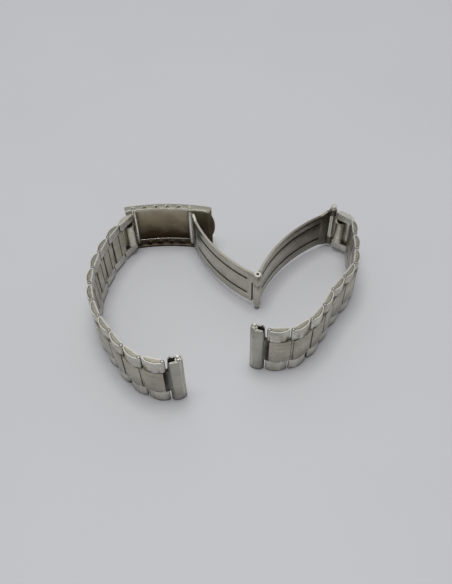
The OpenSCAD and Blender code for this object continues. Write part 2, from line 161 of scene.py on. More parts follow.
class Paint:
    """A node material that is being made."""

    def __init__(self, name: str) -> None:
        """Makes a material with only its output and its main shader.

        Args:
            name: The material's name.
        """
        self.material = bpy.data.materials.new(name)
        self.material.use_nodes = True
        self.tree = self.material.node_tree
        self.tree.nodes.clear()
        output = self.tree.nodes.new("ShaderNodeOutputMaterial")
        self.shader = self.tree.nodes.new("ShaderNodeBsdfPrincipled")
        self.tree.links.new(self.shader.outputs["BSDF"], output.inputs["Surface"])

    def put(self, socket: bpy.types.NodeSocket, value: Value) -> None:
        """Links or sets one input.

        Args:
            socket: The input socket.
            value: A Socket to link, a number, or a colour or vector.
        """
        if isinstance(value, Socket):
            self.tree.links.new(value.socket, socket)
        elif isinstance(value, tuple) and socket.type == "RGBA":
            socket.default_value = (*value, 1.0)
        else:
            socket.default_value = value

    def node(
        self,
        kind: str,
        settings: Optional[dict] = None,
        inputs: Optional[dict] = None,
        output: Union[int, str] = 0,
    ) -> Socket:
        """Adds a node of any type.

        Args:
            kind: The node's type.
            settings: Its settings, which are set first.
            inputs: The values or links of its inputs, by name or number.
            output: The output that is wanted.

        Returns:
            That output.
        """
        made = self.tree.nodes.new(kind)
        for key, value in (settings or {}).items():
            setattr(made, key, value)
        for key, value in (inputs or {}).items():
            self.put(made.inputs[key], value)
        return Socket(self, made.outputs[output])

    def vector(self, operation: str, *values: Value, output: str = "Vector") -> Socket:
        """Adds a Vector Math node.

        Args:
            operation: Blender's name of the operation.
            values: Its vectors.
            output: "Vector", or "Value" where the result is a number.

        Returns:
            The node's result.
        """
        inputs = dict(enumerate(values))
        return self.node(
            "ShaderNodeVectorMath", {"operation": operation}, inputs, output
        )

    def place(self) -> Socket:
        """The object's own coordinates."""
        return self.node("ShaderNodeTexCoord", output="Object")

    def set(self, name: str, value: Value) -> None:
        """Sets or links one input of the main shader."""
        self.put(self.shader.inputs[name], value)

    def mix(self, share: Value, first: Value, second: Value) -> Socket:
        """Mixes two colours.

        Args:
            share: 0 gives the first colour and 1 the second.
            first: The first colour.
            second: The second colour.

        Returns:
            The mixed colour.
        """
        return self.node(
            "ShaderNodeMix",
            {"data_type": "RGBA"},
            {0: share, 6: first, 7: second},
            output=2,
        )

    def noise(self, pattern: Noise) -> Socket:
        """Adds a cloudy pattern.

        Args:
            pattern: What it is like.

        Returns:
            The pattern, from 0 to 1.
        """
        stretched = self.node(
            "ShaderNodeMapping",
            inputs={"Vector": self.place(), "Scale": pattern.stretch},
        )
        raw = self.node(
            "ShaderNodeTexNoise",
            {"noise_dimensions": "3D"},
            {
                "Vector": stretched,
                "Scale": pattern.scale,
                "Detail": pattern.detail,
                "Roughness": pattern.crisp,
            },
        )
        return raw.clamp(*pattern.ends)

    def bump(self, height: Value, depth: float) -> None:
        """Feeds the normal from a height of 0 to 1; depth is 1's height in metres."""
        raised = {"Height": height, "Distance": depth}
        self.set("Normal", self.node("ShaderNodeBump", inputs=raised))


# Finishes. All lengths in them are in millimetres.


@dataclass(frozen=True)
class Ageing:
    """How age and use show on all of the bracelet's steel.

    Attributes:
        clouds: The large, soft mottling.
        specks: The fine mottling.
        streaks: The brushing, before the grain stretches it.
        cloud_share: How much of the mottling is clouds; specks are the rest.
        streak_depth: How much of the relief is brushing; specks are the rest.
        corner_shade: How shaded a corner is where its painted shade and dirt start and
            where they are full.
        thin_shade_and_dirt: The share of that painted shade and dirt where the clouds
            are thinnest.
        cloud_shade_and_dirt: What the thickest clouds add to it.
        shade_and_dirt_dull: How much of the metal's shine full painted shade and dirt
            take.
        edge_turn: How far an edge turns to start to shine, and to be bright.
        rubbed_and_glinting: The colour of edges rubbed bright by use and of the
            painted glints on them.
        patch_fade: How a patch fades; less than 1 keeps more of it.
        thin_patch: A patch's share where the clouds are thinnest.
        cloud_patch: What the thickest clouds add to it.
        inner_blend: How far from an arched sheet's middle its inner patches end.
        cloud_rough: How much roughness the clouds add or take.
        streak_rough: How much the brushing adds or takes.
        shade_and_dirt_rough: How much roughness full painted shade and dirt add.
        rubbed_smooth: How much roughness a fully bright edge takes.
    """

    clouds: Noise = Noise(190.0, 4.0, (0.32, 0.68))
    specks: Noise = Noise(1500.0, 2.0, (0.42, 0.72))
    streaks: Noise = Noise(1.0, 4.0, (0.3, 0.7))
    cloud_share: float = 0.6
    streak_depth: float = 0.7
    corner_shade: Range = (0.16, 0.62)
    thin_shade_and_dirt: float = 0.55
    cloud_shade_and_dirt: float = 0.6
    shade_and_dirt_dull: float = 0.75
    edge_turn: Range = (0.02, 0.3)
    rubbed_and_glinting: Colour = (0.93, 0.92, 0.89)
    patch_fade: float = 0.8
    thin_patch: float = 0.92
    cloud_patch: float = 0.16
    inner_blend: float = 0.1
    cloud_rough: float = 0.16
    streak_rough: float = 0.1
    shade_and_dirt_rough: float = 0.35
    rubbed_smooth: float = 0.12


AGE = Ageing()


class Grain(Enum):
    """Which way the brushing runs: its features per metre along x, y and z."""

    ALONG_BAND = (60.0, 60.0, 1700.0)
    ACROSS_BAND = (1300.0, 1300.0, 60.0)
    TUMBLED = (420.0, 420.0, 420.0)


@dataclass(frozen=True)
class Patch:
    """A place that is painted darker or lighter, most of all in its middle: mostly
    painted shade and painted reflection, and a painted highlight where its tint is
    light.

    Attributes:
        at: The middle.
        reach: How far it spreads along x, y and z.
        share: How much of the metal it covers in the middle.
        tint: Its colour, or None for the finish's own shade_and_grime colour.
    """

    at: Place
    reach: Place
    share: float
    tint: Optional[Colour] = None


@dataclass(frozen=True)
class Steel:
    """One finish of worn stainless steel.

    Attributes:
        name: The material's name.
        colour: The clean metal.
        dark: Its darker clouds and streaks.
        shade_and_grime: The colour of its dirt and of its painted shade, in corners
            and in patches.
        roughness: How soft its reflections are.
        grain: Which way it is brushed.
        grain_share: How dark the brushing is.
        grain_depth: How deep the brushing is.
        shade_and_grime_share: How dark its corners are painted, with shade and dirt.
        reach: How far from a corner that painted shade and dirt spread.
        wear_and_glint: How bright its edges are painted, for wear and for glints where
            they catch light.
        edge: How wide those bright edges are.
        contrast: How strong the clouds and specks are.
        patches: Its patches, where its colour is painted darker or lighter.
        inner: The x, y and radius of the arch that has patches on its hollow side
            only, or None.
    """

    name: str
    colour: Colour
    dark: Colour
    shade_and_grime: Colour
    roughness: float
    grain: Grain
    grain_share: float = 0.35
    grain_depth: float = 0.0025
    shade_and_grime_share: float = 0.8
    reach: float = 1.1
    wear_and_glint: float = 1.0
    edge: float = 0.2
    contrast: float = 0.75
    patches: tuple[Patch, ...] = ()
    inner: Optional[tuple[float, float, float]] = None

    def inside(self, p: Paint) -> Value:
        """Where the patches lie, for a sheet that is bent round an upright axis.

        Args:
            p: The material that is being made.

        Returns:
            1 on the sheet's hollow side and 0 on its outer side.
        """
        if self.inner is None:
            return 1.0
        x, y, radius = self.inner
        flat = p.vector("MULTIPLY", p.place(), (1.0, 1.0, 0.0))
        axis = (x * MM, y * MM, 0.0)
        far = p.vector("DISTANCE", flat, axis, output="Value")
        start, end = radius - AGE.inner_blend, radius + AGE.inner_blend
        return 1.0 - far.clamp(start * MM, end * MM)

    def patch_share(self, p: Paint, patch: Patch) -> Socket:
        """The share of one patch at each place.

        Args:
            p: The material that is being made.
            patch: The patch.

        Returns:
            Its share, which fades out smoothly at its reach.
        """
        moved = p.vector("SUBTRACT", p.place(), tuple(c * MM for c in patch.at))
        scaled = p.vector("DIVIDE", moved, tuple(c * MM for c in patch.reach))
        far = p.vector("LENGTH", scaled, output="Value")
        return (1.0 - far.clamp(0.0, 1.0)) ** AGE.patch_fade * patch.share

    def corners(self, p: Paint) -> Socket:
        """Where another surface is near.

        Args:
            p: The material that is being made.

        Returns:
            0 in the open and 1 deep in a corner.
        """
        # Ambient occlusion: the mask of the painted shade, and of the dirt, in corners
        # and seams.
        open_air = p.node(
            "ShaderNodeAmbientOcclusion",
            {"samples": CORNER_RAYS},
            {"Distance": self.reach * MM},
            output="AO",
        )
        return (1.0 - open_air).clamp(*AGE.corner_shade)

    def edges(self, p: Paint, near: Socket) -> Socket:
        """Where the edges are painted bright: rubbed by handling, and painted glints
        where they catch light.

        Args:
            p: The material that is being made.
            near: Where another surface is near, which keeps hands away.

        Returns:
            0 on flat metal and more on an edge.
        """
        radius = {"Radius": self.edge * MM}
        soft = p.node("ShaderNodeBevel", {"samples": EDGE_RAYS}, radius)
        flat = p.node("ShaderNodeNewGeometry", output="Normal")
        turn = p.vector("DOT_PRODUCT", soft, flat, output="Value")
        return (1.0 - turn).clamp(*AGE.edge_turn) * (1.0 - near) * self.wear_and_glint

    def make(self) -> bpy.types.Material:
        """Builds the material.

        Returns:
            The material, its pattern on the object's own coordinates.
        """
        p = Paint(self.name)
        cloud = p.noise(AGE.clouds)
        speck = p.noise(AGE.specks)
        streak = p.noise(replace(AGE.streaks, stretch=self.grain.value))
        near = self.corners(p)
        spread = AGE.thin_shade_and_dirt + AGE.cloud_shade_and_dirt * cloud
        # Painted shade where another surface is near, with the dirt that gathers
        # there.
        shade_and_dirt = (near * spread * self.shade_and_grime_share).clamp(0.0, 1.0)
        # Edges painted bright: worn by handling, with painted glints where they catch
        # light.
        rubbed_and_glinting = self.edges(p, near)

        # The metal, then its patches of painted shade and light, then its edges
        # painted bright, and the corners' painted shade and dirt over all.
        mottle = AGE.cloud_share * cloud + (1.0 - AGE.cloud_share) * speck
        body = p.mix(mottle * self.contrast, self.colour, self.dark)
        body = p.mix(streak * self.grain_share, body, self.dark)
        inside = self.inside(p)
        for patch in self.patches:
            share = self.patch_share(p, patch) * (AGE.thin_patch + AGE.cloud_patch * cloud)
            patch_share = share.clamp(0.0, 1.0) * inside
            body = p.mix(patch_share, body, patch.tint or self.shade_and_grime)
            rubbed_and_glinting = rubbed_and_glinting * (1.0 - patch_share)
        worn = p.mix(rubbed_and_glinting, body, AGE.rubbed_and_glinting)
        p.set("Base Color", p.mix(shade_and_dirt, worn, self.shade_and_grime))
        p.set("Metallic", (1.0 - AGE.shade_and_dirt_dull * shade_and_dirt).clamp(0.0, 1.0))

        # Clouds and streaks roughen as much as they smooth: 0.5 is their middle.
        rough = self.roughness + AGE.cloud_rough * (cloud - 0.5)
        rough = rough + AGE.streak_rough * (streak - 0.5)
        p.set("Roughness", rough + AGE.shade_and_dirt_rough * shade_and_dirt - AGE.rubbed_smooth * rubbed_and_glinting)
        relief = AGE.streak_depth * streak + (1.0 - AGE.streak_depth) * speck
        p.bump(relief, self.grain_depth * MM)
        return p.material


BRUSHED = Steel(
    "steel_brushed_links",
    colour=(0.76, 0.745, 0.67),
    dark=(0.30, 0.285, 0.235),
    shade_and_grime=(0.03, 0.023, 0.016),
    roughness=0.34,
    grain=Grain.ALONG_BAND,
    shade_and_grime_share=1.0,
    reach=1.4,
    wear_and_glint=2.4,
    edge=0.4,
    contrast=0.85,
)
CENTRE = Steel(
    "steel_worn_centre",
    colour=(0.54, 0.51, 0.43),
    dark=(0.26, 0.24, 0.19),
    shade_and_grime=(0.035, 0.026, 0.018),
    roughness=0.3,
    grain=Grain.ALONG_BAND,
    shade_and_grime_share=1.0,
    reach=1.4,
)
# A lighter copy of the centre steel, with half its corner shade: painted light on the
# curled loops, which stand out and catch more light.
CURL = replace(
    CENTRE,
    name="steel_curled_centre",
    colour=(0.84, 0.81, 0.69),
    dark=(0.46, 0.44, 0.36),
    shade_and_grime_share=0.5,
)
COVER = Steel(
    "steel_cover_painted_shade",
    colour=(0.72, 0.70, 0.61),
    dark=(0.46, 0.44, 0.37),
    shade_and_grime=(0.058, 0.04, 0.022),
    roughness=0.36,
    grain=Grain.ALONG_BAND,
    reach=2.5,
    wear_and_glint=1.4,
    # Patches on the hollow side: a brownish tint over its middle height, painted shade
    # darkening it towards the bottom and at its right end, and near-black painted
    # shade low on the lower flange.
    patches=(
        Patch((-18.0, 29.5, 9.0), (70.0, 70.0, 8.5), 1.0, (0.64, 0.56, 0.37)),
        Patch((-18.0, 29.5, -2.0), (70.0, 70.0, 19.0), 1.35),
        Patch((-5.0, 29.0, 8.0), (7.0, 12.0, 9.0), 0.7),
        Patch((-18.0, 29.5, -1.0), (80.0, 80.0, 2.9), 1.4, (0.03, 0.027, 0.022)),
    ),
    inner=(-20.65, -29.28, 59.7),
)
BLADE = Steel(
    "steel_satin_blade",
    colour=(0.57, 0.55, 0.475),
    dark=(0.36, 0.34, 0.28),
    shade_and_grime=(0.045, 0.03, 0.019),
    roughness=0.32,
    grain=Grain.ALONG_BAND,
    shade_and_grime_share=1.0,
    reach=1.5,
    # Patches: a painted highlight on the rolled barrel round the pivot, painted shadow
    # on the blade's root beside it, painted shade and reflection darkening blade B
    # towards the snap, and a lighter painted shade over blade B.
    patches=(
        Patch((-11.1, 27.8, 8.0), (1.7, 1.7, 90.0), 1.3, (0.95, 0.94, 0.86)),
        Patch((-9.0, 26.9, 6.0), (1.5, 1.9, 26.0), 1.3),
        Patch((34.0, 27.0, 9.0), (22.0, 20.0, 26.0), 0.85),
        Patch((24.0, 16.0, 9.0), (16.0, 16.0, 60.0), 0.35),
    ),
)
ENDS = Steel(
    "steel_end_tube",
    colour=(0.50, 0.49, 0.43),
    dark=(0.35, 0.34, 0.29),
    shade_and_grime=(0.02, 0.016, 0.012),
    roughness=0.3,
    grain=Grain.ALONG_BAND,
    shade_and_grime_share=1.0,
    reach=1.6,
    wear_and_glint=0.3,
)
# A near-white colour: painted sheen on the bars and bend lines, for the light they
# catch.
BARS = Steel(
    "steel_bars_painted_sheen",
    colour=(0.9, 0.885, 0.80),
    dark=(0.66, 0.64, 0.56),
    shade_and_grime=(0.04, 0.03, 0.02),
    roughness=0.3,
    grain=Grain.ACROSS_BAND,
    grain_share=0.2,
    shade_and_grime_share=0.4,
    reach=0.5,
)
# The hinge pin keeps the bars' painted sheen, and full painted shade and dirt blacken
# its bore.
HOLLOW = replace(BARS, name="steel_hollow_pin", shade_and_grime_share=1.0, reach=1.2)
SIDE_CORE = Steel(
    "steel_link_sides",
    colour=(0.40, 0.385, 0.33),
    dark=(0.12, 0.11, 0.085),
    shade_and_grime=(0.03, 0.023, 0.016),
    roughness=0.42,
    grain=Grain.TUMBLED,
    wear_and_glint=0.0,
)
# Near-black painted shade, laid in the links' seams, fold lines and pin ends.
SEAM_SHADE = Steel(
    "painted_shade_in_seams",
    colour=(0.06, 0.048, 0.034),
    dark=(0.022, 0.017, 0.012),
    shade_and_grime=(0.012, 0.009, 0.006),
    roughness=0.7,
    grain=Grain.TUMBLED,
    wear_and_glint=0.0,
)


# The bracelet's sub-assemblies. All sizes in them are in millimetres.


def finished(
    name: str, bm: bmesh.types.BMesh, smooth: bool = True
) -> bpy.types.Object:
    """Makes a mesh object of a bmesh, at the origin and facing outwards.

    Args:
        name: The piece's name.
        bm: The mesh, which is freed.
        smooth: Whether its faces are shaded as one curved surface.

    Returns:
        The object.
    """
    bmesh.ops.remove_doubles(bm, verts=bm.verts, dist=MERGE)
    bmesh.ops.recalc_face_normals(bm, faces=bm.faces)
    for face in bm.faces:
        face.smooth = smooth
    mesh = bpy.data.meshes.new(name)
    bm.to_mesh(mesh)
    bm.free()
    piece = bpy.data.objects.new(name, mesh)
    bpy.context.scene.collection.objects.link(piece)
    LOG.info("%s: %d faces", name, len(mesh.polygons))
    return piece


class Half(Enum):
    """The two halves of the band, as the nodes name them."""

    LEFT = "left"
    RIGHT = "right"


class Face(Enum):
    """The bracelet's upper and lower side, and which way each looks along z."""

    UPPER = 1.0
    LOWER = -1.0


class Slot(Enum):
    """The materials of a link's fine lines: painted shade, and the darker core."""

    SHADE = 0
    CORE = 1


@dataclass
class Dresser:
    """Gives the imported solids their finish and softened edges.

    Attributes:
        weld: How close two points of a solid are merged, in metres.
        segments: How many faces a softened edge has.
        sharp_deg: The least turn of an edge that is softened.
        made: The materials that are built, by name.
    """

    weld: float = 1e-6
    segments: int = 2
    sharp_deg: float = 32.0
    made: dict[str, bpy.types.Material] = field(default_factory=dict)

    def material(self, finish: Steel) -> bpy.types.Material:
        """Gives a finish's material, which is built once.

        Args:
            finish: The finish.

        Returns:
            Its material.
        """
        if finish.name not in self.made:
            self.made[finish.name] = finish.make()
        return self.made[finish.name]

    def dress(self, node: str, finish: Steel, soften: float = 0.1) -> None:
        """Dresses one CAD node.

        Args:
            node: The node's name.
            finish: Its steel.
            soften: The width of the edges' bevel.
        """
        solid = frame["nodes"][node]
        solid.data.materials.clear()
        solid.data.materials.append(self.material(finish))
        weld = solid.modifiers.new("weld", "WELD")
        weld.merge_threshold = self.weld
        bevel = solid.modifiers.new("soft edges", "BEVEL")
        bevel.width = soften * MM
        bevel.segments = self.segments
        bevel.limit_method = "ANGLE"
        bevel.angle_limit = math.radians(self.sharp_deg)
        bevel.harden_normals = True
        bevel.use_clamp_overlap = True
        LOG.info("%s: %s", node, finish.name)


@dataclass
class SpringBar:
    """A spring bar: its barrel and its two sprung tips.

    Attributes:
        name: What its nodes' names start with.
        soften: The width of its edges' bevel.
    """

    name: str
    soften: float = 0.03

    def dress(self, dresser: Dresser) -> None:
        """Dresses the bar's barrel and its tips."""
        for part in ("barrel", "tip_top", "tip_bottom"):
            dresser.dress(f"{self.name}_{part}", BARS, self.soften)


@dataclass(frozen=True)
class LinkSizes:
    """The sizes of a link and of its fine lines.

    Attributes:
        thick: The link's thickness.
        end_round: The radius of its outers' rounded ends.
        pin_depth: How far the pins lie below the link's middle.
        near_gap: From the near pin to the outers' near end.
        far_gap: From the far pin to the outers' far end.
        centre_seam: From the near pin to the seam of the centre piece.
        centre_half: Half of the centre piece's width.
        seam_width: The seam's width.
        fold_inset: From the outer face to the line where the sheet ends.
        fold_width: That line's width.
        fold_over: How far the line runs into a rounded end, as a share of it.
        rim: From the outer face to the darker core.
        ring_r: The radius of the ring round a pin's end.
        ring_proud: How far the ring stands out of the metal.
        proud: How far the other lines stand out of it.
        sunk: How far they go down into it.
        core_sides: How many sides the core's whole circle has.
        fold_steps: How many faces the fold's line has.
        ring_sides: How many sides the ring has.
    """

    thick: float = 1.8
    end_round: float = 0.55
    pin_depth: float = 0.3
    near_gap: float = 0.85
    far_gap: float = 0.55
    centre_seam: float = 2.375
    centre_half: float = 4.65
    seam_width: float = 0.34
    fold_inset: float = 0.36
    fold_width: float = 0.13
    fold_over: float = 0.2
    rim: float = 0.4
    ring_r: float = 0.5
    ring_proud: float = 0.0144
    proud: float = 0.012
    sunk: float = 0.04
    core_sides: int = 96
    fold_steps: int = 16
    ring_sides: int = 20


@dataclass
class LinkPlace:
    """Where one link lies, from the joints at its two pins.

    Attributes:
        near: The pin on the clasp's side.
        far: The pin on the watch's side.
        half: The half of the band that the link is in.
        first: Whether it is the curled link beside the clasp.
        sizes: The link's sizes.
    """

    near: Vector
    far: Vector
    half: Half
    first: bool
    sizes: LinkSizes = field(default_factory=LinkSizes)

    def matrix(self) -> Matrix:
        """The link's own frame: x along it and y out of its outer face.

        Returns:
            The frame in millimetres, with z kept.
        """
        flip = 1.0 if self.half is Half.LEFT else -1.0
        along = self.far - self.near
        depth = self.sizes.pin_depth
        if self.first:
            lean = math.asin(depth / along.length) * -flip
            along = Matrix.Rotation(lean, 3, "Z") @ along
        ahead = along.normalized()
        out = Vector((ahead.y, -ahead.x, 0.0)) * flip
        start = self.near if self.first else self.near + out * depth
        turn = Matrix((ahead, out, Vector((0.0, 0.0, 1.0)))).transposed().to_4x4()
        return Matrix.Translation((start.x, start.y, 0.0)) @ turn


@dataclass
class LinkTrim:
    """The fine lines of one link: painted shade in its seam, and what its two side
    faces show.

    Attributes:
        name: The piece's name.
        body: The body that carries it.
        place: Where the link lies.
        low: The height of its lower side face.
        high: The height of its upper side face.
    """

    name: str
    body: str
    place: LinkPlace
    low: float
    high: float

    def add(
        self,
        bm: bmesh.types.BMesh,
        part: bmesh.types.BMesh,
        local: Matrix,
        slot: Slot,
        face: Face = Face.UPPER,
    ) -> None:
        """Thickens a flat part into the metal and joins it to the link's lines.

        Args:
            bm: The mesh that it joins.
            part: The part, flat and in millimetres, which is freed.
            local: Its place in the link's frame.
            slot: The material that it takes.
            face: Which way the part looks along its own z.
        """
        sunk = bmesh.ops.extrude_face_region(
            part, geom=part.faces[:], use_keep_orig=True
        )["geom"]
        bmesh.ops.translate(
            part,
            vec=(0.0, 0.0, -self.place.sizes.sunk * face.value),
            verts=[v for v in sunk if isinstance(v, bmesh.types.BMVert)],
        )
        whole = Matrix.Scale(MM, 4) @ self.place.matrix() @ local
        bmesh.ops.transform(part, matrix=whole, verts=part.verts)
        for flat in part.faces:
            flat.material_index = slot.value
        mesh = bpy.data.meshes.new("part")
        part.to_mesh(mesh)
        part.free()
        bm.from_mesh(mesh)
        bpy.data.meshes.remove(mesh)

    def seam(self, bm: bmesh.types.BMesh) -> None:
        """Adds a dark strip of painted shade over the seam of the centre piece's wrist
        side.

        Args:
            bm: The mesh that it joins.
        """
        sizes = self.place.sizes
        part = bmesh.new()
        bmesh.ops.create_grid(part, x_segments=1, y_segments=1, size=0.5)
        size = Matrix.Diagonal((sizes.seam_width, 2 * sizes.centre_half, 1.0, 1.0))
        spot = (
            sizes.centre_seam,
            -sizes.thick / 2 - sizes.proud,
            (self.low + self.high) / 2,
        )
        stand = Matrix.Rotation(QUARTER, 4, "X")
        self.add(bm, part, Matrix.Translation(spot) @ stand @ size, Slot.SHADE)

    def core(
        self, bm: bmesh.types.BMesh, middle: Vector, radius: float, face: Face
    ) -> None:
        """Adds the darker core that shows inside the folded sheet's edge.

        Args:
            bm: The mesh that it joins.
            middle: The middle of the outer face's arc, in the link's frame.
            radius: The core's radius.
            face: The side face that it lies on.
        """
        sizes = self.place.sizes
        part = bmesh.new()
        bmesh.ops.create_circle(
            part, cap_ends=True, segments=sizes.core_sides, radius=radius
        )
        floor = sizes.rim - sizes.thick / 2 - middle.y
        bmesh.ops.bisect_plane(
            part,
            geom=part.verts[:] + part.edges[:] + part.faces[:],
            plane_co=(0.0, floor, 0.0),
            plane_no=(0.0, 1.0, 0.0),
            clear_inner=True,
        )
        self.add(bm, part, Matrix.Translation(middle), Slot.CORE, face)

    def fold(
        self,
        bm: bmesh.types.BMesh,
        middle: Vector,
        radius: float,
        reach: float,
        face: Face,
    ) -> None:
        """Adds the line where the folded sheet ends, as an arc of painted shade.

        Args:
            bm: The mesh that it joins.
            middle: The middle of the outer face's arc, in the link's frame.
            radius: The line's radius.
            reach: How far it turns each way, in radians.
            face: The side face that it lies on.
        """
        sizes = self.place.sizes
        part = bmesh.new()
        half = sizes.fold_width / 2
        ends = [part.verts.new((0.0, radius + side, 0.0)) for side in (-half, half)]
        edge = part.edges.new(ends)
        start = Matrix.Rotation(-reach, 3, "Z")
        bmesh.ops.rotate(part, cent=(0, 0, 0), matrix=start, verts=ends)
        bmesh.ops.spin(
            part,
            geom=[*ends, edge],
            cent=(0, 0, 0),
            axis=(0, 0, 1),
            angle=2 * reach,
            steps=sizes.fold_steps,
        )
        self.add(bm, part, Matrix.Translation(middle), Slot.SHADE, face)

    def pin_ring(self, bm: bmesh.types.BMesh, at: Vector, face: Face) -> None:
        """Adds the dark ring of painted shade round a hinge pin's end, just above the
        other lines.

        Args:
            bm: The mesh that it joins.
            at: The pin's end, in the link's frame.
            face: The side face that it lies on.
        """
        sizes = self.place.sizes
        part = bmesh.new()
        bmesh.ops.create_circle(
            part, cap_ends=True, segments=sizes.ring_sides, radius=sizes.ring_r
        )
        rise = Vector((0.0, 0.0, sizes.ring_proud * face.value))
        self.add(bm, part, Matrix.Translation(at + rise), Slot.SHADE, face)

    def side(self, bm: bmesh.types.BMesh, length: float, z: float, face: Face) -> None:
        """Adds what one side face shows.

        Args:
            bm: The mesh that it joins.
            length: The link's length from pin to pin.
            z: The height of the side face.
            face: Which side face it is.
        """
        sizes = self.place.sizes
        start, end = sizes.near_gap, length + sizes.far_gap
        half_thick, end_round = sizes.thick / 2, sizes.end_round

        # The outer face is an arc between its two rounded ends.
        half_arc = (end - start) / 2 - end_round
        radius = (half_arc**2 + (sizes.thick - end_round) ** 2 - end_round**2) / (
            4 * (half_thick - end_round)
        )
        middle = Vector(((start + end) / 2, half_thick - radius, z))
        lift = Vector((0.0, 0.0, sizes.proud * face.value))
        reach = math.asin((half_arc + sizes.fold_over * end_round) / radius)
        self.core(bm, middle + lift / 2, radius - sizes.rim, face)
        self.fold(bm, middle + lift, radius - sizes.fold_inset, reach, face)
        self.pin_ring(bm, Vector((length, -sizes.pin_depth, z)), face)

    def build(self, dresser: Dresser) -> None:
        """Builds the link's lines as one piece; the curled first link has none.

        Args:
            dresser: What gives materials.
        """
        if self.place.first:
            return
        length = (self.place.far - self.place.near).length
        bm = bmesh.new()
        self.seam(bm)
        self.side(bm, length, self.high, Face.UPPER)
        self.side(bm, length, self.low, Face.LOWER)
        piece = finished(self.name, bm, smooth=False)
        for finish in (SEAM_SHADE, SIDE_CORE):
            piece.data.materials.append(dresser.material(finish))
        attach(piece, self.body)


@dataclass
class BandHalf:
    """One half of the band: its links and its end piece.

    Attributes:
        half: Which half it is.
        links: How many links it has.
        pin_proud: How far a pin's end stands out of the link's side face.
        outer_soft: The width of the bevel on an outer piece's edges.
        centre_soft: The width of the bevel on a centre piece's edges.
        gap_height: The middle of the painted shade in the gap beside the end piece.
        gap_reach: How far that painted shade spreads along x, y and z.
        gap_share: How much of the metal it covers.
    """

    half: Half
    links: int
    pin_proud: float = 0.03
    outer_soft: float = 0.15
    centre_soft: float = 0.12
    gap_height: float = 9.0
    gap_reach: Place = (2.0, 2.0, 60.0)
    gap_share: float = 1.3

    def pin(self, number: int) -> Vector:
        """The pin at the far end of a link, or what carries the first link.

        Args:
            number: The link's number; 0 gives the clasp's end.

        Returns:
            The pin's place.
        """
        side = self.half.value
        name = f"{side}_bend_{number:02d}" if number else f"{side}_clasp_swing"
        for joint in frame["record"]["behaviour"]["joints"]:
            if joint["name"] == name:
                place = Vector(joint["pos_m"]) / MM
                return Vector((place.x, place.y, 0.0))
        raise ValueError(f"no joint {name}")

    def trim(self, dresser: Dresser) -> None:
        """Adds the fine lines of every link.

        Args:
            dresser: What gives materials.
        """
        side = self.half.value
        for i in range(1, self.links + 1):
            low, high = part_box(f"{side}_{i:02d}_outers")
            LinkTrim(
                f"{side}_{i:02d}_lines",
                f"{side}_link_{i:02d}",
                LinkPlace(self.pin(i - 1), self.pin(i), self.half, i == 1),
                low[2] / MM + self.pin_proud,
                high[2] / MM - self.pin_proud,
            ).build(dresser)

    def dress(self, dresser: Dresser) -> None:
        """Dresses every link and the end piece.

        Args:
            dresser: What dresses a node.
        """
        side = self.half.value
        for i in range(1, self.links + 1):
            dresser.dress(f"{side}_{i:02d}_outers", BRUSHED, self.outer_soft)
            centre = CURL if i == 1 else CENTRE
            dresser.dress(f"{side}_{i:02d}_centre", centre, self.centre_soft)
        # Painted shade on the end piece, in the gap beside the last link's pin.
        last = self.pin(self.links)
        at = (last.x, last.y, self.gap_height)
        gap = Patch(at, self.gap_reach, self.gap_share)
        ends = replace(ENDS, name=f"{ENDS.name}_{side}", patches=(gap,))
        dresser.dress(f"{side}_end_piece", ends)
        SpringBar(f"{side}_bar").dress(dresser)


